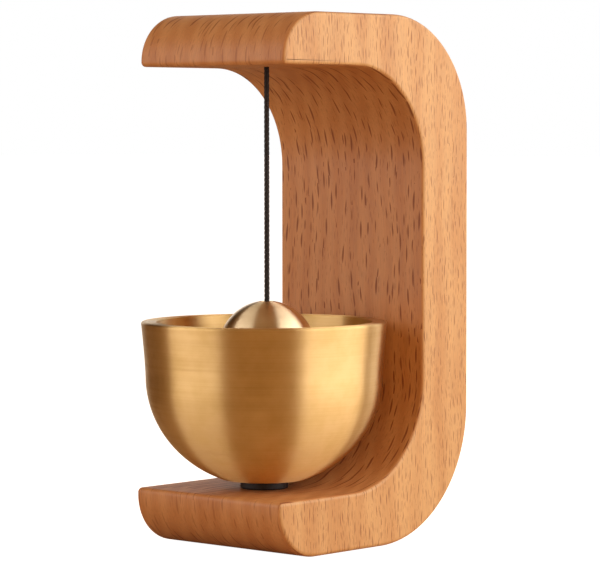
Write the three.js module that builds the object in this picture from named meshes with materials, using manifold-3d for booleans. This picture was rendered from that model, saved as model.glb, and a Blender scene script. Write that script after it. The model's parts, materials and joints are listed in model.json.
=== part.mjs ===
// A door chime in the shape of a small temple bell. A C-shaped beech frame carries a brass
// bowl on its lower arm, and a brass ball hangs from its upper arm on a waxed cord, inside
// the bowl's mouth. Two magnets in the back hold the frame to a steel door.
//
// Millimetres, +Z up. +X is the width. The frame opens towards -Y, and its flat back faces
// +Y. The origin is on the ground, under the centre of the whole object's box.

import * as THREE from 'three';
import { mergeVertices } from 'three/addons/utils/BufferGeometryUtils.js';
import Module from 'manifold-3d';

// ---- Clearances ----
const CONTACT = 0.02; // between flat faces that rest on each other
const FIT = 0.3; // around a piece that sits in a hole

// ---- Frame ----
const FRAME_WIDTH = 40.5;
const FRAME_HEIGHT = 110;
const FRAME_DEPTH = 58; // from the upper arm's tip to the flat back
const LOWER_REACH = 1.4; // how far the lower arm's tip is in front of the upper one's
const UPPER_ARM = 10.8; // thickness of each arm and of the spine
const LOWER_ARM = 11.85;
const SPINE = 14.9;
const UPPER_CORNER = { outer: 24, inner: 20.8 }; // radii where arm and spine meet
const LOWER_CORNER = { outer: 27.6, inner: 22.1 };
const UPPER_TIP = { depth: 10.8, height: 9.8 }; // ellipses that round the arm tips
const LOWER_TIP = { depth: 10.8, height: 10.4 };
const EDGE_EASE = 0.8; // rounding of the two side outlines
const EASE_STEPS = 2;
const CORNER_STEPS = 12;
const TIP_STEPS = 8;

// ---- Bowl: an ellipse below, a slight flare above ----
const BOWL_FROM_FRONT = 15.9; // from the upper arm's tip back to the bowl's axis
const BOWL_RADIUS = 25.5; // its widest, just under the rim, outside
const BOWL_WAIST = { radius: 24.6, z: 35.2 }; // where the ellipse ends and the flare starts
const BOWL_RIM_Z = 46.6;
const BOWL_BOTTOM_Z = 13.75;
const BOWL_WALL = 3.1;
const BOWL_FLOOR = 3; // thickness of its flat bottom
const BOWL_DROP = 22.9; // the ellipse's half height, from the waist down
const FLARE_POWER = 1.3;
const RIM_ROUNDING = { outer: 0.4, inner: 0.3 };
const BOWL_SEGMENTS = 56;
const BOWL_STEPS = { outer: 10, inner: 9, flare: 3, rimOuter: 3, rimInner: 2 };

// ---- Striker ----
const CORD_RADIUS = 0.55;
const CORD_SIDES = 8;
const CORD_BEHIND_BOWL = 0.9; // the cord hangs a little behind the bowl's axis
const BALL_RADIUS = 10.2;
const BALL_Z = 40.6;
const BALL_BORE = 0.9;
const BALL_CHAMFER = 0.8; // at the mouths of the ball's bore
const BALL_SEGMENTS = 36;
const BALL_STEPS = 18; // from mouth to mouth
const KNOT_RADIUS = 1.7;
const KNOT_HEIGHT = 2.4;
const KNOT_SEGMENTS = 14;
const KNOT_STEPS = 10;
const CORD_TAIL = 2.2; // past the lower knot

// ---- Cord hole in the upper arm ----
const CORD_HOLE = 1.2;
const PLUG_RADIUS = 3.7;
const PLUG_THICKNESS = 3;
const COUNTERBORE_DEPTH = 6;

// ---- Bowl fixing ----
const FOOT = { radius: 5, bore: 2.4 };
const PAD = { radius: 5.6, bore: 2.4, thickness: 1 };
const WASHER = { radius: 5, bore: 2.2, thickness: 0.8 };
const SCREW = {
  head: 3.8,
  headHeight: 2.4,
  headEdge: 0.6, // straight height under the head's dome
  neck: 4, // plain stretch under the head
  neckTaper: 1, // from the neck down to the first ring of the thread
  core: 1.25,
  thread: 1.75,
  pitch: 1.4,
  tip: 2, // length of the point
  tipZ: 3,
};
const SCREW_CROSS = { length: 4.4, width: 0.9, depth: 1.3 };
const SCREW_SEGMENTS = 20;
const HEAD_STEPS = 6;
const BOWL_HOLE = 2.2;
const RING_SEGMENTS = 28;
const DRILL_SEGMENTS = 24;
const OVERRUN = 1; // how far a cutter runs past the face that it cuts

// ---- Magnets in the back ----
const MAGNET = { radius: 6, thickness: 3, recess: 0.1 };
const MAGNET_HEIGHTS = { lower: 40, upper: 74 };

// ---- Worked out from the sizes above ----
const OVERALL_DEPTH = FRAME_DEPTH + BOWL_RADIUS - BOWL_FROM_FRONT;
const BACK_Y = OVERALL_DEPTH / 2;
const FRONT_Y = BACK_Y - FRAME_DEPTH;
const LOWER_FRONT_Y = FRONT_Y - LOWER_REACH;
const BOWL_Y = FRONT_Y + BOWL_FROM_FRONT;
const CORD_Y = BOWL_Y + CORD_BEHIND_BOWL;
const SPINE_Y = BACK_Y - SPINE;
const ARM_UNDERSIDE_Z = FRAME_HEIGHT - UPPER_ARM;
const COUNTERBORE_Z = FRAME_HEIGHT - COUNTERBORE_DEPTH;
const BOWL_FLOOR_Z = BOWL_BOTTOM_Z + BOWL_FLOOR;
const FLARE_TOP_Z = BOWL_RIM_Z - RIM_ROUNDING.outer;
const BALL_BOTTOM_Z = BALL_Z - BALL_RADIUS;

const wasm = await Module();
wasm.setup();

// ---- Solids ----

// The geometry with shared vertices merged and no sliver triangles.
function merged(geometry) {
  const bare = geometry.clone();
  bare.deleteAttribute('normal');
  bare.deleteAttribute('uv');
  const welded = mergeVertices(bare, 1e-4);
  const corners = welded.index.array;
  const kept = [];
  for (let i = 0; i < corners.length; i += 3) {
    const [a, b, c] = [corners[i], corners[i + 1], corners[i + 2]];
    if (a !== b && b !== c && c !== a) kept.push(a, b, c);
  }
  welded.setIndex(kept);
  return welded;
}

function toSolid(geometry) {
  const closed = merged(geometry);
  return new wasm.Manifold(new wasm.Mesh({
    numProp: 3,
    vertProperties: new Float32Array(closed.attributes.position.array),
    triVerts: new Uint32Array(closed.index.array),
  }));
}

function toGeometry(solid) {
  const mesh = solid.getMesh();
  const geometry = new THREE.BufferGeometry();
  geometry.setAttribute('position', new THREE.BufferAttribute(mesh.vertProperties, 3));
  geometry.setIndex(Array.from(mesh.triVerts));
  geometry.computeVertexNormals();
  return geometry;
}

function cut(geometry, cutters) {
  const whole = toSolid(geometry);
  return toGeometry(cutters.reduce((solid, cutter) => solid.subtract(toSolid(cutter)), whole));
}

function join(geometry, additions) {
  const whole = toSolid(geometry);
  return toGeometry(additions.reduce((solid, piece) => solid.add(toSolid(piece)), whole));
}

// A solid of revolution about +Z from [radius, z] points that end on the axis or close.
function turned(points, segments) {
  const profile = points.map(([radius, z]) => new THREE.Vector2(radius, z));
  return merged(new THREE.LatheGeometry(profile, segments).rotateX(Math.PI / 2));
}

// A flat ring or, with no bore, a disc, standing on z = 0.
function ring(radius, bore, thickness, segments = RING_SEGMENTS) {
  const outline = bore > 0
    ? [[bore, 0], [radius, 0], [radius, thickness], [bore, thickness], [bore, 0]]
    : [[0, 0], [radius, 0], [radius, thickness], [0, thickness]];
  return turned(outline, segments);
}

// A round drill along +Z between two heights, at (0, y).
function drill(radius, y, fromZ, toZ) {
  return ring(radius, 0, toZ - fromZ, DRILL_SEGMENTS).translate(0, y, fromZ);
}

// Points of an ellipse arc, as [across, up], between two angles in degrees.
function ellipseArc(across, up, radiusAcross, radiusUp, from, to, steps) {
  return Array.from({ length: steps + 1 }, (_, i) => {
    const angle = THREE.MathUtils.degToRad(from + ((to - from) * i) / steps);
    return [across + radiusAcross * Math.cos(angle), up + radiusUp * Math.sin(angle)];
  });
}

// ---- Frame: one block of beech, a C seen from the side ----

function frameOutline() {
  const corner = (y, z, radius, from, to) =>
    ellipseArc(y, z, radius, radius, from, to, CORNER_STEPS);
  const upperTip = ellipseArc(
    FRONT_Y + UPPER_TIP.depth, FRAME_HEIGHT - UPPER_TIP.height,
    UPPER_TIP.depth, UPPER_TIP.height, 90, 180, TIP_STEPS,
  );
  const lowerTip = ellipseArc(
    LOWER_FRONT_Y + LOWER_TIP.depth, LOWER_TIP.height,
    LOWER_TIP.depth, LOWER_TIP.height, 180, 270, TIP_STEPS,
  );
  const { outer, inner } = UPPER_CORNER;
  return [
    [LOWER_FRONT_Y, LOWER_ARM],
    ...lowerTip,
    ...corner(BACK_Y - LOWER_CORNER.outer, LOWER_CORNER.outer, LOWER_CORNER.outer, -90, 0),
    ...corner(BACK_Y - outer, FRAME_HEIGHT - outer, outer, 0, 90),
    ...upperTip,
    [FRONT_Y, ARM_UNDERSIDE_Z],
    ...corner(SPINE_Y - inner, ARM_UNDERSIDE_Z - inner, inner, 90, 0),
    ...corner(SPINE_Y - LOWER_CORNER.inner, LOWER_ARM + LOWER_CORNER.inner, LOWER_CORNER.inner, 0, -90),
  ];
}

function frameGeometry() {
  const shape = new THREE.Shape(frameOutline().map(([y, z]) => new THREE.Vector2(y, z)));
  const block = new THREE.ExtrudeGeometry(shape, {
    depth: FRAME_WIDTH - 2 * EDGE_EASE,
    steps: 1,
    bevelEnabled: true,
    bevelThickness: EDGE_EASE,
    bevelSize: EDGE_EASE,
    bevelOffset: -EDGE_EASE,
    bevelSegments: EASE_STEPS,
  });
  block.translate(0, 0, EDGE_EASE - FRAME_WIDTH / 2);
  const sideways = new THREE.Matrix4().makeBasis(
    new THREE.Vector3(0, 1, 0),
    new THREE.Vector3(0, 0, 1),
    new THREE.Vector3(1, 0, 0),
  );
  block.applyMatrix4(sideways);

  const cordHole = drill(CORD_HOLE, CORD_Y, ARM_UNDERSIDE_Z - OVERRUN, FRAME_HEIGHT);
  const counterbore = drill(PLUG_RADIUS + FIT, CORD_Y, COUNTERBORE_Z, FRAME_HEIGHT + OVERRUN);
  const screwHole = drill(SCREW.thread + FIT, BOWL_Y, SCREW.tipZ - FIT, LOWER_ARM + OVERRUN);
  const pocketDepth = MAGNET.thickness + MAGNET.recess + FIT;
  const pockets = Object.values(MAGNET_HEIGHTS).map((z) =>
    ring(MAGNET.radius + FIT, 0, pocketDepth + OVERRUN)
      .rotateX(-Math.PI / 2)
      .translate(0, BACK_Y - pocketDepth, z));
  return cut(block, [cordHole, counterbore, screwHole, ...pockets]);
}

// ---- Bowl ----

// One wall of the bowl, from its flat floor up to where the rim's rounding starts.
function bowlWall(inset, floorZ, topZ, steps) {
  const radius = BOWL_WAIST.radius - inset;
  const lowest = Math.asin((BOWL_WAIST.z - floorZ) / (BOWL_DROP - inset));
  const lower = ellipseArc(
    0, BOWL_WAIST.z, radius, BOWL_DROP - inset, -THREE.MathUtils.radToDeg(lowest), 0, steps,
  );
  const upper = Array.from({ length: BOWL_STEPS.flare }, (_, i) => {
    const z = BOWL_WAIST.z + ((topZ - BOWL_WAIST.z) * (i + 1)) / BOWL_STEPS.flare;
    const share = (z - BOWL_WAIST.z) / (FLARE_TOP_Z - BOWL_WAIST.z);
    return [radius + (BOWL_RADIUS - BOWL_WAIST.radius) * share ** FLARE_POWER, z];
  });
  return [...lower, ...upper];
}

function bowlGeometry() {
  const { outer, inner } = RIM_ROUNDING;
  const outerWall = bowlWall(0, BOWL_BOTTOM_Z, FLARE_TOP_Z, BOWL_STEPS.outer);
  const innerWall = bowlWall(BOWL_WALL, BOWL_FLOOR_Z, BOWL_RIM_Z - inner, BOWL_STEPS.inner);
  const rimOutside = outerWall.at(-1)[0];
  const rimInside = innerWall.at(-1)[0];
  const rimOuter = ellipseArc(
    rimOutside - outer, BOWL_RIM_Z - outer, outer, outer, 0, 90, BOWL_STEPS.rimOuter,
  );
  const rimInner = ellipseArc(
    rimInside + inner, BOWL_RIM_Z - inner, inner, inner, 90, 180, BOWL_STEPS.rimInner,
  );
  return turned([
    [BOWL_HOLE, BOWL_BOTTOM_Z],
    ...outerWall,
    ...rimOuter.slice(1),
    ...rimInner.slice(0, -1),
    ...innerWall.reverse(),
    [BOWL_HOLE, BOWL_FLOOR_Z],
    [BOWL_HOLE, BOWL_BOTTOM_Z],
  ], BOWL_SEGMENTS);
}

// ---- Bowl fixing: foot, pad, washer and a pan-head wood screw ----

function screwGeometry(headZ) {
  const threadZ = headZ - SCREW.neck - SCREW.neckTaper;
  const pointZ = SCREW.tipZ + SCREW.tip;
  const thread = [];
  for (let z = threadZ; z - SCREW.pitch > pointZ; z -= SCREW.pitch) {
    thread.push([SCREW.core, z], [SCREW.thread, z - SCREW.pitch / 2]);
  }
  const shank = [
    [SCREW.thread, headZ],
    [SCREW.thread, headZ - SCREW.neck],
    ...thread,
    [SCREW.core, pointZ],
    [0, SCREW.tipZ],
  ].reverse();
  const domeHeight = SCREW.headHeight - SCREW.headEdge;
  const dome = ellipseArc(0, headZ + SCREW.headEdge, SCREW.head, domeHeight, 0, 90, HEAD_STEPS);
  dome[dome.length - 1][0] = 0;
  const body = turned([...shank, [SCREW.head, headZ], ...dome], SCREW_SEGMENTS);
  const slots = [0, Math.PI / 2].map((turn) =>
    new THREE.BoxGeometry(SCREW_CROSS.length, SCREW_CROSS.width, 2 * SCREW_CROSS.depth)
      .rotateZ(turn)
      .translate(0, 0, headZ + SCREW.headHeight));
  return cut(body, slots);
}

// ---- Striker: ball, cord and knots ----

function ballGeometry() {
  const mouth = BALL_BORE + BALL_CHAMFER;
  const mouthZ = Math.sqrt(BALL_RADIUS ** 2 - mouth ** 2);
  const edge = THREE.MathUtils.radToDeg(Math.asin(mouthZ / BALL_RADIUS));
  const boreZ = mouthZ - BALL_CHAMFER;
  return turned([
    [BALL_BORE, -boreZ],
    ...ellipseArc(0, 0, BALL_RADIUS, BALL_RADIUS, -edge, edge, BALL_STEPS),
    [BALL_BORE, boreZ],
    [BALL_BORE, -boreZ],
  ], BALL_SEGMENTS);
}

// A straight stretch of cord between two heights: an octagon extruded along its line.
function cordGeometry(fromZ, toZ) {
  const section = new THREE.Shape();
  section.absarc(0, 0, CORD_RADIUS, 0, 2 * Math.PI);
  const line = new THREE.LineCurve3(
    new THREE.Vector3(0, 0, fromZ),
    new THREE.Vector3(0, 0, toZ),
  );
  return merged(new THREE.ExtrudeGeometry(section, {
    extrudePath: line,
    steps: Math.ceil(Math.abs(toZ - fromZ) / (5 * CORD_RADIUS)),
    curveSegments: CORD_SIDES / 2,
  }));
}

function knotGeometry() {
  return merged(new THREE.SphereGeometry(KNOT_RADIUS, KNOT_SEGMENTS, KNOT_STEPS)
    .rotateX(Math.PI / 2)
    .scale(1, 1, KNOT_HEIGHT / (2 * KNOT_RADIUS)));
}

// ---- Materials ----

const surface = (metalness) => (color, roughness) =>
  new THREE.MeshStandardMaterial({ color, roughness, metalness });
const metal = surface(1);
const plain = surface(0);
const materials = {
  beech: plain('#c98a55', 0.5),
  beechPlug: plain('#b97c4a', 0.55),
  bowlBrass: metal('#d9a85c', 0.28),
  ballBrass: metal('#d8ae6c', 0.18),
  steel: metal('#b9b9b6', 0.35),
  nickel: metal('#c6c6c8', 0.25),
  rubber: plain('#241d1a', 0.6),
  cord: plain('#1f1512', 0.7),
};

// ---- Assembly ----

const chime = new THREE.Group();
chime.name = 'door_chime';

function place(name, geometry, material, y = 0, z = 0) {
  const mesh = new THREE.Mesh(geometry, material);
  mesh.name = name;
  mesh.position.set(0, y, z);
  chime.add(mesh);
}

const magnet = ring(MAGNET.radius, 0, MAGNET.thickness).rotateX(-Math.PI / 2);
const magnetY = BACK_Y - MAGNET.recess - MAGNET.thickness;
place('frame', frameGeometry(), materials.beech);
place('cord_hole_plug', ring(PLUG_RADIUS, 0, PLUG_THICKNESS), materials.beechPlug,
  CORD_Y, FRAME_HEIGHT - PLUG_THICKNESS);
place('back_magnet_upper', magnet, materials.nickel, magnetY, MAGNET_HEIGHTS.upper);
place('back_magnet_lower', magnet.clone(), materials.nickel, magnetY, MAGNET_HEIGHTS.lower);

const footThickness = BOWL_BOTTOM_Z - LOWER_ARM - 2 * CONTACT;
const padZ = BOWL_FLOOR_Z + CONTACT;
const washerZ = padZ + PAD.thickness + CONTACT;
const screwHeadZ = washerZ + WASHER.thickness + CONTACT;
place('bowl', bowlGeometry(), materials.bowlBrass, BOWL_Y);
place('bowl_foot', ring(FOOT.radius, FOOT.bore, footThickness), materials.rubber,
  BOWL_Y, LOWER_ARM + CONTACT);
place('bowl_pad', ring(PAD.radius, PAD.bore, PAD.thickness), materials.rubber, BOWL_Y, padZ);
place('screw_washer', ring(WASHER.radius, WASHER.bore, WASHER.thickness), materials.steel,
  BOWL_Y, washerZ);
place('bowl_screw', screwGeometry(screwHeadZ), materials.steel, BOWL_Y);

const topKnotZ = COUNTERBORE_Z + FIT + KNOT_HEIGHT / 2;
const bottomKnotZ = BALL_BOTTOM_Z - KNOT_HEIGHT / 2;
const cordInHole = cordGeometry(ARM_UNDERSIDE_Z + FIT / 2, COUNTERBORE_Z);
const hangingCord = cordGeometry(BALL_BOTTOM_Z + FIT, ARM_UNDERSIDE_Z - FIT / 2);
const tail = cordGeometry(-KNOT_HEIGHT / 2 - CORD_TAIL, 0);
place('cord_top_knot', knotGeometry(), materials.cord, CORD_Y, topKnotZ);
place('cord_in_hole', cordInHole, materials.cord, CORD_Y);
place('striker_cord', hangingCord, materials.cord, CORD_Y);
place('striker_ball', ballGeometry(), materials.ballBrass, CORD_Y, BALL_Z);
place('cord_bottom_knot', join(knotGeometry(), [tail]), materials.cord, CORD_Y, bottomKnotZ);

export default chime;
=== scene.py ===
"""A door chime in the shape of a small temple bell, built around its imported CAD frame.

A C-shaped beech block carries a turned brass bowl, and a brass ball hangs in the bowl's mouth on a
waxed cord. Everything is in metres in the row frame: +Z up, the open front faces -Y and the flat
back faces +Y. Outlines are written in millimetres and scaled when their mesh is made.
"""

import json
import math

import bpy
from mathutils import Matrix, Vector


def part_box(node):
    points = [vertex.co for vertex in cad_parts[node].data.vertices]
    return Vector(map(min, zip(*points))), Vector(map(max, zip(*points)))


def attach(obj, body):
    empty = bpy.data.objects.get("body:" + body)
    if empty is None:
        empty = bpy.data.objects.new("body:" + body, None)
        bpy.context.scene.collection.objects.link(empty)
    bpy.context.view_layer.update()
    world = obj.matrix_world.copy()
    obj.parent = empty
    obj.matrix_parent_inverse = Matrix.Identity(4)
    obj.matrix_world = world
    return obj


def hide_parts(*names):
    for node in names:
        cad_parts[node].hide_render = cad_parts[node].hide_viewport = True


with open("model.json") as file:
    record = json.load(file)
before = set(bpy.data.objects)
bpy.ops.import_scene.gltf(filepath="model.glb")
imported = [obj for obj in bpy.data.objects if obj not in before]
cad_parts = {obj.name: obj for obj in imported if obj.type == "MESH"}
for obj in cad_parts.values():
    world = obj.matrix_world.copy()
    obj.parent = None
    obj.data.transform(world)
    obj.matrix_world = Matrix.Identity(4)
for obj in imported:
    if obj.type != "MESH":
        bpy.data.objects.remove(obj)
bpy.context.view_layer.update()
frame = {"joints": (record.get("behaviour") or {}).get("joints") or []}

MM = 0.001

# ---- Places, from the CAD frame, in millimetres ----


def node_box(node):
    """Lowest and highest corners of a CAD node at rest, in millimetres."""
    return [corner / MM for corner in map(Vector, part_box(node))]


FRAME_LOW, FRAME_HIGH = node_box("frame")
BOWL_LOW, BOWL_HIGH = node_box("bowl")
BALL_LOW, BALL_HIGH = node_box("striker_ball")
FOOT_LOW, FOOT_HIGH = node_box("bowl_foot")
PAD_LOW, PAD_HIGH = node_box("bowl_pad")
WASHER_LOW, WASHER_HIGH = node_box("screw_washer")
SCREW_LOW, SCREW_HIGH = node_box("bowl_screw")
PLUG_LOW, PLUG_HIGH = node_box("cord_hole_plug")
TOP_KNOT_LOW, TOP_KNOT_HIGH = node_box("cord_top_knot")
HOLE_CORD_HIGH = node_box("cord_in_hole")[1]

BOWL_Y = (BOWL_LOW.y + BOWL_HIGH.y) / 2
CORD_Y = (BALL_LOW.y + BALL_HIGH.y) / 2
BALL_RADIUS = (BALL_HIGH.y - BALL_LOW.y) / 2
BALL_Z = (BALL_LOW.z + BALL_HIGH.z) / 2
PIVOT_Z = frame["joints"][0]["pos_m"][2] / MM
SWING_LIMIT = frame["joints"][1]["range_deg"][1]

# ---- Sizes that the CAD outlines share, in millimetres ----

LOWER_REACH = 1.4
UPPER_ARM = 10.8
LOWER_ARM = 11.85
SPINE = 14.9
UPPER_OUTER_CORNER = 24
UPPER_INNER_CORNER = 20.8
LOWER_OUTER_CORNER = 27.6
LOWER_INNER_CORNER = 22.1
UPPER_TIP = (10.8, 9.8)
LOWER_TIP = (10.8, 10.4)
EDGE_EASE = 0.8
TIP_EASE = 1.0
BOWL_RADIUS = 25.49
BOWL_WAIST_RADIUS = 24.6
BOWL_WAIST_Z = 35.2
BOWL_DROP = 22.9
BOWL_WALL = 3.1
BOWL_FLOOR = 3
BOWL_HOLE = 2.2
FLARE_POWER = 1.3
RIM_OUTER = 0.4
RIM_INNER = 0.3
BALL_BORE = 0.9
BALL_CHAMFER = 0.8
CORD_RADIUS = 0.55
CORD_HOLE = 1.2
SCREW_HOLE = 2.05
FIT = 0.3
KNOT_RADIUS = 1.7
CORD_TAIL = 2.2


# ---- Outlines and meshes ----


def arc(across, up, radius_across, radius_up, start, end, steps):
    """Points of an ellipse arc between two angles in degrees."""
    angles = [math.radians(start + (end - start) * i / steps) for i in range(steps + 1)]
    return [(across + radius_across * math.cos(a), up + radius_up * math.sin(a)) for a in angles]


def piece(name, points, faces, material, body, replaces=()):
    """A smooth mesh piece from points in millimetres, riding on a CAD body."""
    mesh = bpy.data.meshes.new(name)
    mesh.from_pydata([Vector(p) * MM for p in points], [], faces)
    mesh.update()
    made = bpy.data.objects.new(name, mesh)
    bpy.context.scene.collection.objects.link(made)
    finish_mesh(made)
    mesh.materials.append(material)
    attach(made, body)
    if replaces:
        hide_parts(*replaces)
    return made


def finish_mesh(made, sharp_degrees=32):
    """Smooth shading, with real corners kept sharp."""
    made.data.shade_smooth()
    made.data.set_sharp_from_angle(angle=math.radians(sharp_degrees))


def revolved(outline, segments=128, centre=(0, 0, 0)):
    """Points and faces of a solid of revolution about +Z from (radius, height) points, in order from
    the inside of the top, down and round to the start, or from axis to axis."""
    points, rings = [], []
    for radius, height in outline:
        count = 1 if radius < 1e-9 else segments
        rings.append([len(points) + k for k in range(count)])
        for k in range(count):
            turn = 2 * math.pi * k / segments
            points.append(
                (
                    centre[0] + radius * math.cos(turn),
                    centre[1] + radius * math.sin(turn),
                    centre[2] + height,
                )
            )
    closes = outline[0][0] > 1e-9
    pairs = list(zip(rings, rings[1:] + rings[:1])) if closes else list(zip(rings, rings[1:]))
    return points, [face for low, high in pairs for face in band(low, high, segments)]


def band(low, high, segments):
    """Faces between two rings, either of which may be a single point on the axis."""
    faces = []
    for k in range(segments):
        nxt = (k + 1) % segments
        if len(low) == 1:
            faces.append((low[0], high[nxt], high[k]))
        elif len(high) == 1:
            faces.append((low[k], low[nxt], high[0]))
        else:
            faces.append((low[k], low[nxt], high[nxt], high[k]))
    return faces


def disc_outline(radius, bore, low, high, ease):
    """Outline of a ring, or of a disc without a bore, with eased outer edges."""
    outer = [
        *arc(radius - ease, low + ease, ease, ease, -90, 0, 5),
        *arc(radius - ease, high - ease, ease, ease, 0, 90, 5),
    ]
    if bore:
        return [(bore, low), *outer, (bore, high)]
    return [(0, low), *outer, (0, high)]


def cut(target, cutters):
    """Cuts pieces out of a mesh and keeps the result as its own mesh."""
    for cutter in cutters:
        modifier = target.modifiers.new(cutter.name, "BOOLEAN")
        modifier.object = cutter
        modifier.operation = "DIFFERENCE"
        modifier.solver = "EXACT"
    graph = bpy.context.evaluated_depsgraph_get()
    made = bpy.data.meshes.new_from_object(target.evaluated_get(graph))
    target.modifiers.clear()
    target.data = made
    for cutter in cutters:
        bpy.data.objects.remove(cutter)


def cutter(name, outline, segments=64, turn=None, place=(0, 0, 0)):
    """A turned solid that only cuts another."""
    points, faces = revolved(outline, segments)
    turn = turn or Matrix.Identity(3)
    mesh = bpy.data.meshes.new(name)
    mesh.from_pydata([(turn @ Vector(p) + Vector(place)) * MM for p in points], [], faces)
    made = bpy.data.objects.new(name, mesh)
    bpy.context.scene.collection.objects.link(made)
    return made


# ---- Node trees ----


class Nodes:
    """Shorthand for one material's node tree. Positions in it are in millimetres."""

    def __init__(self, name):
        self.material = bpy.data.materials.new(name)
        self.material.use_nodes = True
        self.tree = self.material.node_tree
        self.shader = self.tree.nodes["Principled BSDF"]

    def feed(self, socket, value):
        if isinstance(value, bpy.types.NodeSocket):
            self.tree.links.new(value, socket)
        else:
            socket.default_value = value

    def add(self, kind, inputs=None, **settings):
        node = self.tree.nodes.new("ShaderNode" + kind)
        for key, value in settings.items():
            setattr(node, key, value)
        for key, value in (inputs or {}).items():
            self.feed(node.inputs[key], value)
        return node

    def math(self, operation, a, b=0.0, clamp=False):
        return self.add("Math", {0: a, 1: b}, operation=operation, use_clamp=clamp).outputs[0]

    def vector(self, operation, a, b=(0, 0, 0)):
        return self.add("VectorMath", {0: a, 1: b}, operation=operation).outputs[0]

    def split(self, vector):
        return self.add("SeparateXYZ", {0: vector}).outputs

    def join(self, x, y, z):
        return self.add("CombineXYZ", {0: x, 1: y, 2: z}).outputs[0]

    def position(self, origin=(0, 0, 0)):
        """The surface point in the row frame, in millimetres from an origin."""
        coordinates = self.add("TexCoord").outputs["Object"]
        millimetres = self.vector("MULTIPLY", coordinates, (1 / MM,) * 3)
        return self.vector("SUBTRACT", millimetres, origin)

    def noise(self, vector, detail=3.0, roughness=0.5, scale=1.0):
        inputs = {"Vector": vector, "Scale": scale, "Detail": detail, "Roughness": roughness}
        return self.add("TexNoise", inputs).outputs[0]

    def spread(self, value, low, high, to_low=0.0, to_high=1.0, smooth=True):
        """The value's range low to high becomes to_low to to_high, clamped."""
        inputs = {"Value": value, "From Min": low, "From Max": high, "To Min": to_low, "To Max": to_high}
        kind = "SMOOTHSTEP" if smooth else "LINEAR"
        return self.add("MapRange", inputs, interpolation_type=kind).outputs[0]

    def mix(self, share, a, b, blend="MIX"):
        node = self.add("Mix", data_type="RGBA", blend_type=blend, clamp_factor=True)
        self.feed(node.inputs["Factor"], share)
        self.feed(node.inputs[6], a)
        self.feed(node.inputs[7], b)
        return node.outputs[2]

    def bump(self, height, distance_mm, strength=1.0, normal=None):
        inputs = {"Height": height, "Distance": distance_mm * MM, "Strength": strength}
        if normal is not None:
            inputs["Normal"] = normal
        return self.add("Bump", inputs).outputs[0]

    def set(self, **inputs):
        for key, value in inputs.items():
            self.feed(self.shader.inputs[key.replace("_", " ")], value)


def rgba(red, green, blue):
    return (red, green, blue, 1)


# ---- Materials ----


def flecks(nodes, position, cell, half_width, half_height, share):
    """Mask of the spindle-shaped ends of wood rays. position is (across, along the ray, up the
    grain). There is at most one fleck in a cell, and share of the cells hold one."""
    scaled = nodes.vector("DIVIDE", position, cell)
    cells = nodes.add("TexVoronoi", {"Vector": scaled, "Scale": 1.0, "Randomness": 1.0})
    from_middle = nodes.vector("SUBTRACT", scaled, cells.outputs["Position"])
    offset = nodes.vector("MULTIPLY", from_middle, cell)
    across, _, up = nodes.split(offset)
    chance, size, _ = nodes.split(cells.outputs["Color"])
    size = nodes.spread(size, 0, 1, 0.55, 1.15, smooth=False)
    across = nodes.math("ABSOLUTE", across)
    width = nodes.math("DIVIDE", across, nodes.math("MULTIPLY", size, half_width))
    height = nodes.math("DIVIDE", up, nodes.math("MULTIPLY", size, half_height))
    outline = nodes.math("ADD", width, nodes.math("MULTIPLY", height, height))
    inside = nodes.spread(outline, 1.15, 0.45)
    present = nodes.math("LESS_THAN", chance, share)
    return nodes.math("MULTIPLY", inside, present)


# Multiplies every face that doesn't look to the sides: partly the wood's look across the cut, partly painted
# shade of faces turned away from the main light.
END_FACE_SHADE_TINT = rgba(0.85, 0.68, 0.6)


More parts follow.
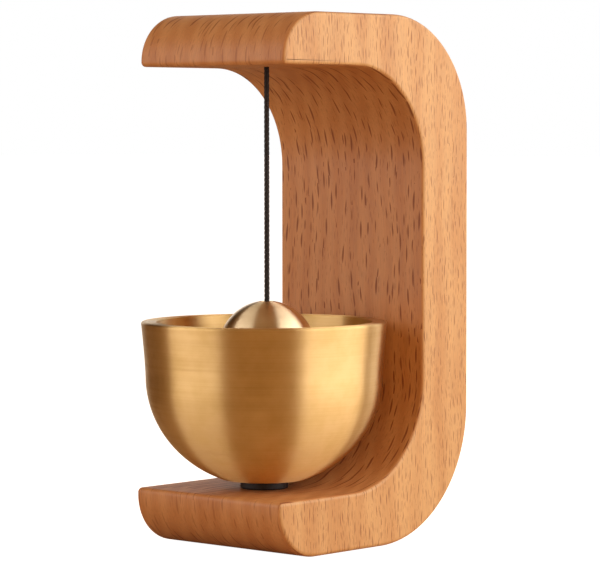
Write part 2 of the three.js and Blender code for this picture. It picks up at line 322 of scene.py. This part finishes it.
def beech(name, light, dark, fleck, fleck_depth):
    """Satin beech: the grain runs up +Z and the rays run front to back. Faces that look to the front, back,
    top or bottom are tinted darker and redder, partly the wood's own look across the cut and partly painted
    shade, and carry the larger flecks."""
    nodes = Nodes(name)
    position = nodes.position()
    wander = nodes.noise(nodes.vector("MULTIPLY", position, (0.09, 0.09, 0.05)), 2)
    sway = nodes.math("MULTIPLY", nodes.math("SUBTRACT", wander, 0.5), 3.2)
    x, y, z = nodes.split(position)
    across = nodes.math("ADD", x, sway)
    along = nodes.math("ADD", y, sway)

    normal = nodes.split(nodes.add("NewGeometry").outputs["Normal"])
    on_side = nodes.spread(nodes.math("ABSOLUTE", normal[0]), 0.55, 0.8)
    facing = nodes.math("SUBTRACT", 1.0, on_side)
    towards_front = nodes.math("MULTIPLY", normal[1], -1.0)
    on_tip = nodes.math("MULTIPLY", nodes.spread(towards_front, 0.2, 0.6), nodes.spread(y, -18, -24))

    ends = nodes.join(across, y, z)
    large = flecks(nodes, ends, (2.1, 24, 4.8), 0.27, 2.2, 0.75)
    small = flecks(nodes, nodes.vector("ADD", ends, (7, 3, 5)), (1.1, 16, 2.4), 0.14, 1.0, 0.7)
    flanks = nodes.join(along, x, z)
    fine = flecks(nodes, flanks, (1.3, 30, 3.2), 0.17, 1.5, 0.7)
    finer = flecks(nodes, nodes.vector("ADD", flanks, (5, 2, 9)), (0.7, 20, 1.8), 0.1, 0.8, 0.7)
    ray_ends = nodes.math("MAXIMUM", large, nodes.math("MULTIPLY", small, 0.4))
    front_mask = nodes.math("MULTIPLY", ray_ends, nodes.spread(on_tip, 0, 1, 1, 0.45, smooth=False))
    side_mask = nodes.math(
        "MAXIMUM", nodes.math("MULTIPLY", fine, 0.7), nodes.math("MULTIPLY", finer, 0.4)
    )
    mask = nodes.math(
        "ADD", nodes.math("MULTIPLY", front_mask, facing), nodes.math("MULTIPLY", side_mask, on_side)
    )

    drift = nodes.noise(nodes.vector("MULTIPLY", position, (0.13, 0.13, 0.022)), 4, 0.55)
    rings = nodes.add(
        "TexWave",
        {"Vector": nodes.join(nodes.math("ADD", across, nodes.math("MULTIPLY", along, 0.55)), 0.0, 0.0),
         "Scale": 0.07, "Distortion": 2.2, "Detail": 2.0, "Detail Scale": 0.5},
    ).outputs["Fac"]
    fibre = nodes.noise(nodes.vector("MULTIPLY", nodes.join(across, along, z), (3.4, 3.4, 0.16)), 4, 0.6)
    tone = nodes.math("ADD", nodes.math("MULTIPLY", drift, 0.75), nodes.math("MULTIPLY", rings, 0.2))
    wood = nodes.mix(nodes.spread(tone, 0.28, 0.66), light, dark)
    # Partly painted shade: faces off the sides are darkened and reddened as if turned from the light, on top
    # of the wood's own look across the cut.
    wood = nodes.mix(facing, wood, nodes.mix(1.0, wood, END_FACE_SHADE_TINT, "MULTIPLY"))
    shade = nodes.spread(fibre, 0.25, 0.75, 0.9, 1.07)
    wood = nodes.mix(1.0, wood, nodes.join(shade, shade, shade), "MULTIPLY")
    colour = nodes.mix(nodes.math("MULTIPLY", mask, fleck_depth), wood, fleck)

    pores = nodes.noise(nodes.vector("MULTIPLY", position, (9, 9, 1.1)), 2, 0.5)
    height = nodes.math("SUBTRACT", nodes.math("MULTIPLY", pores, 0.5), nodes.math("MULTIPLY", mask, 0.5))
    rough = nodes.spread(nodes.math("ADD", fibre, nodes.math("MULTIPLY", mask, 0.4)), 0.2, 1.0, 0.42, 0.6)
    nodes.set(
        Base_Color=colour,
        Roughness=rough,
        Specular_IOR_Level=0.42,
        Normal=nodes.bump(height, 0.03, 0.5),
    )
    return nodes.material


def turned_brass(name, axis, bright, dull, roughness, lines_mm, anisotropy, bump):
    """Brass with the fine rings that turning on a lathe leaves round an axis."""
    nodes = Nodes(name)
    position = nodes.position(axis)
    x, y, z = nodes.split(position)
    radius = nodes.math("SQRT", nodes.math("ADD", nodes.math("MULTIPLY", x, x), nodes.math("MULTIPLY", y, y)))
    turn = nodes.math("ARCTAN2", y, x)
    seam = nodes.join(nodes.math("COSINE", turn), nodes.math("SINE", turn), 0.0)
    rings = nodes.join(nodes.math("DIVIDE", radius, lines_mm), 0.0, nodes.math("DIVIDE", z, lines_mm))
    brushed = nodes.noise(nodes.vector("ADD", rings, nodes.vector("MULTIPLY", seam, (0.5, 0.5, 0))), 5, 0.65)
    handled = nodes.noise(nodes.vector("MULTIPLY", position, (0.12,) * 3), 4, 0.6)
    tarnish = nodes.spread(nodes.math("ADD", handled, nodes.math("MULTIPLY", brushed, 0.35)), 0.45, 0.95)
    colour = nodes.mix(tarnish, bright, dull)
    rough = nodes.math(
        "ADD", nodes.spread(brushed, 0.3, 0.7, roughness - 0.04, roughness + 0.04),
        nodes.math("MULTIPLY", tarnish, 0.05),
    )
    nodes.set(
        Base_Color=colour,
        Metallic=1.0,
        Roughness=rough,
        Anisotropic=anisotropy,
        Normal=nodes.bump(brushed, bump, 1.0),
    )
    if anisotropy:
        tangent = nodes.add("Tangent", direction_type="RADIAL", axis="Z")
        nodes.feed(nodes.shader.inputs["Tangent"], tangent.outputs[0])
        nodes.set(Anisotropic_Rotation=0.25)
    return nodes.material


def plated(name, colour, roughness):
    """Plated steel with faint scratches and cloudy patches."""
    nodes = Nodes(name)
    position = nodes.position()
    scratches = nodes.noise(nodes.vector("MULTIPLY", position, (1.2, 14, 14)), 4, 0.7)
    clouds = nodes.noise(position, 3, 0.5, 0.35)
    shade = nodes.spread(clouds, 0.3, 0.7, 0.88, 1.0)
    nodes.set(
        Base_Color=nodes.mix(1.0, colour, nodes.join(shade, shade, shade), "MULTIPLY"),
        Metallic=1.0,
        Roughness=nodes.spread(scratches, 0.3, 0.75, roughness - 0.08, roughness + 0.12),
        Normal=nodes.bump(scratches, 0.006, 0.6),
    )
    return nodes.material


def rubber(name, colour):
    """Dark rubber, matt with a fine mould texture."""
    nodes = Nodes(name)
    position = nodes.position()
    grain = nodes.noise(position, 4, 0.6, 5.0)
    dust = nodes.noise(position, 3, 0.5, 0.8)
    pale = rgba(colour[0] * 2.2, colour[1] * 2.3, colour[2] * 2.4)
    nodes.set(
        Base_Color=nodes.mix(nodes.spread(dust, 0.45, 0.75, 0.0, 0.7), colour, pale),
        Roughness=nodes.spread(grain, 0.3, 0.7, 0.5, 0.68),
        Normal=nodes.bump(grain, 0.04, 0.5),
    )
    return nodes.material


def waxed_cord(name, colour):
    """Dark waxed thread: fibres along the strands, with wax that catches a little light."""
    nodes = Nodes(name)
    position = nodes.position()
    fibres = nodes.noise(nodes.vector("MULTIPLY", position, (9, 9, 3.5)), 4, 0.65)
    wax = nodes.noise(position, 2, 0.5, 0.7)
    worn = rgba(colour[0] * 2.4, colour[1] * 2.2, colour[2] * 2.0)
    nodes.set(
        Base_Color=nodes.mix(nodes.spread(fibres, 0.4, 0.75), colour, worn),
        Roughness=nodes.spread(wax, 0.35, 0.65, 0.42, 0.62),
        Specular_IOR_Level=0.3,
        Normal=nodes.bump(fibres, 0.05, 0.7),
    )
    return nodes.material


BEECH = beech("beech", rgba(0.66, 0.365, 0.14), rgba(0.57, 0.28, 0.095), rgba(0.23, 0.065, 0.016), 0.95)
PLUG_BEECH = beech("plug_beech", rgba(0.62, 0.3, 0.11), rgba(0.5, 0.22, 0.075), rgba(0.3, 0.1, 0.028), 0.7)
BOWL_BRASS = turned_brass(
    "bowl_brass", (0, BOWL_Y, 0), rgba(0.87, 0.6, 0.27), rgba(0.79, 0.52, 0.2),
    roughness=0.44, lines_mm=0.3, anisotropy=1.0, bump=0.0015,
)
BALL_BRASS = turned_brass(
    "ball_brass", (0, CORD_Y, BALL_Z), rgba(0.94, 0.76, 0.5), rgba(0.88, 0.68, 0.42),
    roughness=0.34, lines_mm=0.3, anisotropy=1.0, bump=0.0006,
)
STEEL = plated("zinc_steel", rgba(0.62, 0.61, 0.6), 0.34)
NICKEL = plated("nickel", rgba(0.66, 0.65, 0.64), 0.24)
RUBBER = rubber("dark_rubber", rgba(0.011, 0.0065, 0.0045))
CORD = waxed_cord("waxed_cord", rgba(0.009, 0.006, 0.005))


# ---- Camera ----

VIEW_AZIMUTH = math.radians(42.21)
TO_LENS = Vector((math.sin(VIEW_AZIMUTH), -math.cos(VIEW_AZIMUTH), 0))
TO_RIGHT = Vector((math.cos(VIEW_AZIMUTH), math.sin(VIEW_AZIMUTH), 0))


def make_camera():
    """A long lens a little above the rim of the bowl, right of the open front."""
    elevation, roll = math.radians(3.02), math.radians(-0.05)
    distance = 0.637
    target = Vector((-0.00094, 0.003845, 0.05356))
    forward = -math.cos(elevation) * TO_LENS - Vector((0, 0, math.sin(elevation)))
    up = TO_RIGHT.cross(forward)
    rolled_right = math.cos(roll) * TO_RIGHT + math.sin(roll) * up
    rolled_up = math.cos(roll) * up - math.sin(roll) * TO_RIGHT
    camera = bpy.data.objects.new("camera", bpy.data.cameras.new("camera"))
    camera.data.lens = 181.57
    camera.data.sensor_width = 36
    camera.data.clip_start = 0.05
    camera.data.clip_end = 20
    axes = Matrix((rolled_right, rolled_up, -forward)).transposed()
    camera.matrix_world = Matrix.Translation(target - distance * forward) @ axes.to_4x4()
    bpy.context.scene.collection.objects.link(camera)
    bpy.context.scene.camera = camera


make_camera()


# ---- Cord: three twisted strands, a stretch in the hole, and a knot at each end ----


def twisted_cord(name, low, high, body, replaces):
    """A straight run of three-strand cord between two heights, and the points it follows."""
    sides, pitch, step = 36, 3.0, 0.14
    count = round((high - low) / step)
    points, path = [], []
    for i in range(count + 1):
        z = high - (high - low) * i / count
        path.append((0, CORD_Y, z))
        for k in range(sides):
            turn = 2 * math.pi * k / sides
            strand = abs(math.cos(1.5 * (turn - 2 * math.pi * z / pitch)))
            radius = CORD_RADIUS * (0.8 + 0.2 * strand**0.6)
            points.append((radius * math.cos(turn), CORD_Y + radius * math.sin(turn), z))
    faces = [tuple(range(sides)), tuple(reversed(range(count * sides, (count + 1) * sides)))]
    for i in range(count):
        for k in range(sides):
            a, b = i * sides + k, i * sides + (k + 1) % sides
            faces.append((b, a, a + sides, b + sides))
    made = piece(name, points, faces, CORD, body, replaces)
    finish_mesh(made, 60)
    return made, path


def overhand_knot(name, low, high, body, replaces):
    """A tight overhand knot: a closed trefoil of cord as wide as the knot's CAD lump."""
    strand = 0.5
    reach = (KNOT_RADIUS - strand) / 3
    lift = (high - low) / 2 - strand
    middle = (low + high) / 2
    rounds, sides = 96, 18

    def centre(t):
        return Vector(
            (
                reach * (math.sin(t) + 2 * math.sin(2 * t)),
                CORD_Y + reach * (math.cos(t) - 2 * math.cos(2 * t)),
                middle - lift * math.sin(3 * t),
            )
        )

    points, faces = [], []
    for i in range(rounds):
        t = 2 * math.pi * i / rounds
        tangent = (centre(t + 0.01) - centre(t - 0.01)).normalized()
        outward = (tangent.cross(Vector((0, 0, 1)))).normalized()
        upward = outward.cross(tangent)
        for k in range(sides):
            turn = 2 * math.pi * k / sides
            points.append(centre(t) + strand * (math.cos(turn) * outward + math.sin(turn) * upward))
        for k in range(sides):
            a, b = i * sides + k, i * sides + (k + 1) % sides
            c, d = ((i + 1) % rounds) * sides + k, ((i + 1) % rounds) * sides + (k + 1) % sides
            faces.append((a, b, d, c))
    return piece(name, points, faces, CORD, body, replaces)


def make_cord():
    """The hanging cord with its lower knot and tail, and the stretch in the arm with its knot."""
    knot_high = BALL_LOW.z
    knot_low = knot_high - (TOP_KNOT_HIGH.z - TOP_KNOT_LOW.z)
    hanging, path = twisted_cord("hanging_cord", BALL_LOW.z, PIVOT_Z, "striker", ["striker_cord"])
    lower_knot = overhand_knot("lower_knot", knot_low, knot_high, "striker", ["cord_bottom_knot"])
    tail, _ = twisted_cord("cord_tail", knot_low - CORD_TAIL, knot_low + 0.4, "striker", [])
    end_tilt = CORD_RADIUS * math.sin(math.radians(SWING_LIMIT)) + 0.03
    twisted_cord("cord_in_arm", PIVOT_Z + end_tilt, HOLE_CORD_HIGH.z, "cord_top", ["cord_in_hole"])
    overhand_knot("upper_knot", TOP_KNOT_LOW.z, TOP_KNOT_HIGH.z, "cord_top", ["cord_top_knot"])


make_cord()


# ---- Frame ----


def frame_outline():
    """The C outline as (depth, height) points, anticlockwise seen from the right side."""
    toe, back, top = FRAME_LOW.y, FRAME_HIGH.y, FRAME_HIGH.z
    front = toe + LOWER_REACH
    spine, under, over = back - SPINE, top - UPPER_ARM, LOWER_ARM
    tip_across, tip_up = UPPER_TIP
    toe_across, toe_up = LOWER_TIP

    def corner(y, z, radius, start, end, steps=26):
        return arc(y, z, radius, radius, start, end, steps)

    return [
        *arc(toe + toe_across, toe_up, toe_across, toe_up, 180, 270, 26),
        *corner(back - LOWER_OUTER_CORNER, LOWER_OUTER_CORNER, LOWER_OUTER_CORNER, -90, 0),
        *corner(back - UPPER_OUTER_CORNER, top - UPPER_OUTER_CORNER, UPPER_OUTER_CORNER, 0, 90),
        *arc(front + tip_across, top - tip_up, tip_across, tip_up, 90, 180, 26),
        *corner(front + TIP_EASE, under + TIP_EASE, TIP_EASE, 180, 270, 8),
        *corner(spine - UPPER_INNER_CORNER, under - UPPER_INNER_CORNER, UPPER_INNER_CORNER, 90, 0),
        *corner(spine - LOWER_INNER_CORNER, over + LOWER_INNER_CORNER, LOWER_INNER_CORNER, 0, -90),
        *corner(toe + TIP_EASE, over - TIP_EASE, TIP_EASE, 90, 180, 8),
    ]


def moved_in(outline, inset):
    """An anticlockwise outline moved into its inside by inset, along the normal at each point."""
    moved = []
    for k, point in enumerate(outline):
        before, here = Vector(outline[k - 1]), Vector(point)
        after = Vector(outline[(k + 1) % len(outline)])
        along = (here - before).normalized() + (after - here).normalized()
        inward = Vector((-along.y, along.x)).normalized()
        moved.append(tuple(here + inset * inward))
    return moved


def frame_mesh():
    """Points and faces of the block: rings of the outline from side to side, and two flat sides."""
    half = FRAME_HIGH.x
    ease_steps = 6
    rings = [(half, EDGE_EASE + 0.1)]
    for i in range(ease_steps + 1):
        angle = math.pi / 2 * i / ease_steps
        rings.append((half - EDGE_EASE * (1 - math.cos(angle)), EDGE_EASE * (1 - math.sin(angle))))
    rings += [(-x, inset) for x, inset in reversed(rings)]
    outline = frame_outline()
    points, loops = [], []
    for x, inset in rings:
        loops.append(list(range(len(points), len(points) + len(outline))))
        points += [(x, y, z) for y, z in moved_in(outline, inset)]
    count = len(outline)
    faces = [tuple(loops[0]), tuple(reversed(loops[-1]))]
    for near, far in zip(loops, loops[1:]):
        faces += [
            (near[k], far[k], far[(k + 1) % count], near[(k + 1) % count]) for k in range(count)
        ]
    return points, faces


def make_frame():
    points, faces = frame_mesh()
    block = piece("beech_block", points, faces, BEECH, "frame", ["frame"])
    under, top = FRAME_HIGH.z - UPPER_ARM, FRAME_HIGH.z
    backwards = Matrix.Rotation(-math.pi / 2, 3, "X")
    counterbore = PLUG_HIGH.x + FIT
    shoulder = HOLE_CORD_HIGH.z
    cutters = [
        cutter(
            "cord_hole",
            [
                (0, under - 1),
                (CORD_HOLE + 1.3, under - 1),
                (CORD_HOLE, under + 0.3),
                (CORD_HOLE, shoulder),
                (counterbore, shoulder),
                (counterbore, top - 0.15),
                (counterbore + 1.15, top + 1),
                (0, top + 1),
            ],
            place=(0, CORD_Y, 0),
        ),
        cutter(
            "screw_hole",
            [
                (0, SCREW_LOW.z - FIT),
                (SCREW_HOLE, SCREW_LOW.z - FIT),
                (SCREW_HOLE, LOWER_ARM - 0.2),
                (SCREW_HOLE + 1.2, LOWER_ARM + 1),
                (0, LOWER_ARM + 1),
            ],
            place=(0, BOWL_Y, 0),
        ),
    ]
    for node in ("back_magnet_lower", "back_magnet_upper"):
        low, high = node_box(node)
        radius = (high.x - low.x) / 2 + FIT
        depth = FRAME_HIGH.y - low.y + FIT
        cutters.append(
            cutter(
                node + "_pocket",
                [(0, -depth), (radius, -depth), (radius, -0.15), (radius + 1.15, 1), (0, 1)],
                turn=backwards,
                place=(0, FRAME_HIGH.y, (low.z + high.z) / 2),
            )
        )
    cut(block, cutters)
    finish_mesh(block)


# ---- Bowl, foot, pad, washer and screw ----


def bowl_wall(inset, floor, top, steps):
    """One wall of the bowl from its floor up: an ellipse, then a slight flare."""
    radius, drop = BOWL_WAIST_RADIUS - inset, BOWL_DROP - inset
    lowest = math.degrees(math.asin((BOWL_WAIST_Z - floor) / drop))
    wall = arc(0, BOWL_WAIST_Z, radius, drop, -lowest, 0, steps)
    flare_top = BOWL_HIGH.z - RIM_OUTER
    flare_steps = 12
    for i in range(1, flare_steps + 1):
        z = BOWL_WAIST_Z + (top - BOWL_WAIST_Z) * i / flare_steps
        share = (z - BOWL_WAIST_Z) / (flare_top - BOWL_WAIST_Z)
        wall.append((radius + (BOWL_RADIUS - BOWL_WAIST_RADIUS) * share**FLARE_POWER, z))
    return wall


def make_bowl():
    rim, bottom = BOWL_HIGH.z, BOWL_LOW.z
    outside = bowl_wall(0, bottom, rim - RIM_OUTER, 44)
    inside = bowl_wall(BOWL_WALL, bottom + BOWL_FLOOR, rim - RIM_INNER, 40)[::-1]
    outline = [
        (BOWL_HOLE + 0.3, bottom),
        *outside,
        *arc(outside[-1][0] - RIM_OUTER, rim - RIM_OUTER, RIM_OUTER, RIM_OUTER, 0, 90, 10)[1:],
        *arc(inside[0][0] + RIM_INNER, rim - RIM_INNER, RIM_INNER, RIM_INNER, 90, 180, 8)[:-1],
        *inside,
        (BOWL_HOLE + 0.3, bottom + BOWL_FLOOR),
        (BOWL_HOLE, bottom + BOWL_FLOOR - 0.3),
        (BOWL_HOLE, bottom + 0.3),
    ]
    points, faces = revolved(outline, 192, (0, BOWL_Y, 0))
    piece("brass_bowl", points, faces, BOWL_BRASS, "frame", ["bowl"])


def make_fixings():
    """The spacer under the bowl, and the pad and washer under the screw's head."""
    rings = [
        ("rubber_foot", "bowl_foot", FOOT_LOW, FOOT_HIGH, 2.4, 0.35, RUBBER, "rubber"),
        ("rubber_pad", "bowl_pad", PAD_LOW, PAD_HIGH, 2.4, 0.25, RUBBER, "rubber"),
        ("steel_washer", "screw_washer", WASHER_LOW, WASHER_HIGH, 2.2, 0.15, STEEL, "steel"),
    ]
    for name, node, low, high, bore, ease, material, slot in rings:
        radius = (high.x - low.x) / 2
        points, faces = revolved(disc_outline(radius, bore, low.z, high.z, ease), 96, (0, BOWL_Y, 0))
        piece(name, points, faces, material, "frame", [node])


def make_screw():
    """A pan-head wood screw: a domed head with a cross recess, a plain neck and a helical thread."""
    core, crest, pitch, neck = 1.25, 1.75, 1.4, 4.0
    head, head_height, tip = 3.8, 2.4, SCREW_LOW.z
    head_low = SCREW_HIGH.z - head_height
    thread_top, thread_low = head_low - neck, tip + 2.2
    segments = 64
    heights = [thread_low + (thread_top - thread_low) * i / 150 for i in range(151)]
    shaft = [(core * i / 8, tip + (thread_low - tip) * i / 8, 0.0) for i in range(9)]
    shaft += [(core, z, min(1.0, (z - thread_low) / pitch, (thread_top - z) / pitch)) for z in heights[1:]]
    shaft += [(crest - 0.1, thread_top + 0.4, 0.0), (crest - 0.1, head_low, 0.0)]
    shaft += [(r, z, 0.0) for r, z in arc(head - 0.2, head_low + 0.2, 0.2, 0.2, -90, 0, 4)]
    shaft += [(r, z, 0.0) for r, z in arc(0, head_low + 0.6, head, head_height - 0.6, 0, 90, 20)]
    points, rings = [], []
    for radius, z, ridge in shaft:
        count = 1 if radius < 1e-6 else segments
        rings.append(list(range(len(points), len(points) + count)))
        for k in range(count):
            turn = k / segments
            phase = (z / pitch - turn) % 1.0
            reach = radius + ridge * (crest - core) * max(0.0, 1 - abs(phase - 0.5) / 0.28)
            angle = 2 * math.pi * turn
            points.append((reach * math.cos(angle), BOWL_Y + reach * math.sin(angle), z))
    faces = [face for low, high in zip(rings, rings[1:]) for face in band(low, high, segments)]
    screw = piece("wood_screw", points, faces, STEEL, "frame", ["bowl_screw"])
    recess = []
    for turn in (0, math.pi / 2):
        corners = [(x, y, z) for x in (-1, 1) for y in (-1, 1) for z in (-1, 1)]
        shape = []
        for x, y, z in corners:
            taper = 1.0 if z > 0 else 0.45
            point = Vector((2.2 * x * taper, 0.45 * y * (1.0 if z > 0 else 0.6), 1.3 * z))
            shape.append(Matrix.Rotation(turn, 3, "Z") @ point + Vector((0, BOWL_Y, SCREW_HIGH.z)))
        quads = [(0, 1, 3, 2), (4, 6, 7, 5), (0, 4, 5, 1), (2, 3, 7, 6), (0, 2, 6, 4), (1, 5, 7, 3)]
        mesh = bpy.data.meshes.new("slot")
        mesh.from_pydata([p * MM for p in shape], [], quads)
        slot_cutter = bpy.data.objects.new("slot", mesh)
        bpy.context.scene.collection.objects.link(slot_cutter)
        recess.append(slot_cutter)
    cut(screw, recess)
    finish_mesh(screw)


# ---- Ball, plug and magnets ----


def make_ball():
    mouth = BALL_BORE + BALL_CHAMFER
    mouth_z = math.sqrt(BALL_RADIUS**2 - mouth**2)
    edge = math.degrees(math.asin(mouth_z / BALL_RADIUS))
    bore_z = mouth_z - BALL_CHAMFER
    outline = [
        (BALL_BORE, -bore_z),
        *arc(0, 0, BALL_RADIUS, BALL_RADIUS, -edge, edge, 96),
        (BALL_BORE, bore_z),
    ]
    points, faces = revolved(outline, 144, (0, CORD_Y, BALL_Z))
    piece("brass_ball", points, faces, BALL_BRASS, "striker", ["striker_ball"])


def make_plug():
    outline = disc_outline(PLUG_HIGH.x, 0, PLUG_LOW.z, PLUG_HIGH.z, 0.2)
    points, faces = revolved(outline, 96, (0, CORD_Y, 0))
    piece("beech_plug", points, faces, PLUG_BEECH, "frame", ["cord_hole_plug"])


def make_magnets():
    backwards = Matrix.Rotation(-math.pi / 2, 3, "X")
    for node in ("back_magnet_lower", "back_magnet_upper"):
        low, high = node_box(node)
        radius, thickness = (high.x - low.x) / 2, high.y - low.y
        points, faces = revolved(disc_outline(radius, 0, 0, thickness, 0.3), 96)
        place = Vector((0, low.y, (low.z + high.z) / 2))
        points = [backwards @ Vector(p) + place for p in points]
        piece(node.replace("back_", "disc_"), points, faces, NICKEL, "frame", [node])


make_frame()
make_bowl()
make_fixings()
make_screw()
make_ball()
make_plug()
make_magnets()


# ---- Studio ----

WHITE = rgba(1, 1, 1)
ROOM_FRONT = rgba(0.46, 0.2, 0.04)
ROOM_SIDES = rgba(0.24, 0.11, 0.04)
ROOM_BACK = rgba(0.035, 0.014, 0.005)
ROOM_TOP = rgba(0.42, 0.31, 0.2)
BACKDROP = rgba(0.95, 0.88, 0.82)
SOFTBOX_DISTANCE = 0.5


def softbox(name, bearing, height, width, tall, radiance):
    """A rectangular area light at a bearing in degrees from the lens, to its right, facing the bowl."""
    turn = math.radians(bearing)
    focus = Vector((0, 0, 0.05))
    place = focus + SOFTBOX_DISTANCE * (math.cos(turn) * TO_LENS + math.sin(turn) * TO_RIGHT)
    place.z = height
    light = bpy.data.lights.new(name, "AREA")
    light.shape = "RECTANGLE"
    light.size, light.size_y = width, tall
    light.energy = radiance * math.pi * width * tall
    lamp = bpy.data.objects.new(name, light)
    lamp.location = place
    lamp.rotation_euler = (focus - place).to_track_quat("-Z", "Y").to_euler()
    lamp.visible_camera = False
    bpy.context.scene.collection.objects.link(lamp)


def make_lights():
    softbox("right_softbox", bearing=75, height=0.23, width=0.8, tall=0.56, radiance=3.05)
    softbox("left_softbox", bearing=-70, height=0.18, width=0.56, tall=0.4, radiance=2.15)
    softbox("back_softbox", bearing=138, height=0.2, width=0.3, tall=0.5, radiance=1.5)


def make_world():
    """White to the lens. To every other ray, a dim warm room with a pale backdrop behind the part."""
    world = bpy.data.worlds.new("studio")
    bpy.context.scene.world = world
    world.use_nodes = True
    tree = world.node_tree
    tree.nodes.clear()
    direction = tree.nodes.new("ShaderNodeTexCoord")
    towards_lens = tree.nodes.new("ShaderNodeVectorMath")
    towards_lens.operation = "DOT_PRODUCT"
    towards_lens.inputs[1].default_value = TO_LENS
    tree.links.new(direction.outputs["Generated"], towards_lens.inputs[0])
    walls = tree.nodes.new("ShaderNodeValToRGB")
    stops = walls.color_ramp.elements
    stops[0].position, stops[0].color = 0.03, BACKDROP
    stops[1].position, stops[1].color = 0.07, ROOM_BACK
    for position, colour in ((0.22, ROOM_BACK), (0.34, ROOM_SIDES), (0.86, ROOM_SIDES), (0.95, ROOM_FRONT)):
        stops.new(position).color = colour
    halved = tree.nodes.new("ShaderNodeMapRange")
    halved.inputs["From Min"].default_value = -1
    tree.links.new(towards_lens.outputs["Value"], halved.inputs["Value"])
    tree.links.new(halved.outputs[0], walls.inputs["Fac"])
    height = tree.nodes.new("ShaderNodeSeparateXYZ")
    tree.links.new(direction.outputs["Generated"], height.inputs[0])
    overhead = tree.nodes.new("ShaderNodeMapRange")
    overhead.inputs["From Min"].default_value = 0.5
    overhead.inputs["From Max"].default_value = 0.75
    tree.links.new(height.outputs["Z"], overhead.inputs["Value"])
    walls_and_top = tree.nodes.new("ShaderNodeMix")
    walls_and_top.data_type = "RGBA"
    walls_and_top.inputs[7].default_value = ROOM_TOP
    tree.links.new(overhead.outputs[0], walls_and_top.inputs["Factor"])
    tree.links.new(walls.outputs[0], walls_and_top.inputs[6])
    seen = tree.nodes.new("ShaderNodeBackground")
    seen.inputs["Color"].default_value = WHITE
    room = tree.nodes.new("ShaderNodeBackground")
    tree.links.new(walls_and_top.outputs[2], room.inputs["Color"])
    choice = tree.nodes.new("ShaderNodeMixShader")
    rays = tree.nodes.new("ShaderNodeLightPath")
    output = tree.nodes.new("ShaderNodeOutputWorld")
    tree.links.new(rays.outputs["Is Camera Ray"], choice.inputs["Fac"])
    tree.links.new(room.outputs[0], choice.inputs[1])
    tree.links.new(seen.outputs[0], choice.inputs[2])
    tree.links.new(choice.outputs[0], output.inputs["Surface"])


def make_floor():
    """A plain floor that shows white to the lens. Light bounces off it as off pale tan card."""
    size = 6.0
    below_part = 0.0002
    mesh = bpy.data.meshes.new("floor")
    corners = [(-size, -size), (size, -size), (size, size), (-size, size)]
    mesh.from_pydata([(x, y, -below_part) for x, y in corners], [], [(0, 1, 2, 3)])
    floor = bpy.data.objects.new("floor", mesh)
    bpy.context.scene.collection.objects.link(floor)
    nodes = Nodes("pale_floor")
    nodes.set(Base_Color=rgba(0.55, 0.36, 0.2), Roughness=0.9)
    glow = nodes.add("Emission", {"Color": WHITE, "Strength": 1.0})
    washed = nodes.add("AddShader", {0: nodes.shader.outputs[0], 1: glow.outputs[0]})
    is_seen = nodes.add("LightPath").outputs["Is Camera Ray"]
    choice = nodes.add("MixShader", {0: is_seen, 1: nodes.shader.outputs[0], 2: washed.outputs[0]})
    nodes.feed(nodes.tree.nodes["Material Output"].inputs["Surface"], choice.outputs[0])
    mesh.materials.append(nodes.material)


make_lights()
make_world()
make_floor()
bpy.context.scene.view_settings.view_transform = "Standard"
